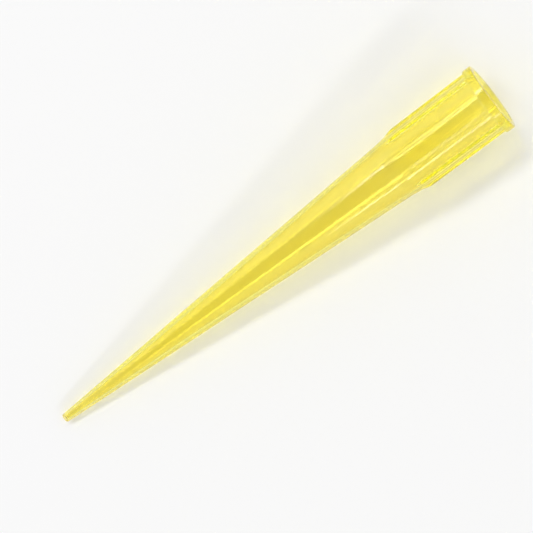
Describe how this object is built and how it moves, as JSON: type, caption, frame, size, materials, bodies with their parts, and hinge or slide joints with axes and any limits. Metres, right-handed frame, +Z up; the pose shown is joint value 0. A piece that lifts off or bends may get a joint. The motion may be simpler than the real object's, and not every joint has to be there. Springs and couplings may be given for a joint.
{
  "type": "pipette tip",
  "caption": "Long hollow taper for a micropipette, translucent yellow, with a lipped mouth, a finely ribbed collar and a small orifice at its point.",
  "frame": {"origin": "on the surface the tip lies on, at the centre of its bounding box's base", "axes": "+Z up; the tip lies in the XZ plane with its mouth towards -X and its point towards +X; its own axis slopes down to the point by the angle at which it rests"},
  "size_m": [0.0512, 0.0066, 0.0068],
  "materials": {
    "polypropylene": "translucent yellow polypropylene, smooth and softly glossy as moulded"
  },
  "bodies": {
    "root": {"pipette_tip": "polypropylene"}
  },
  "joints": []
}
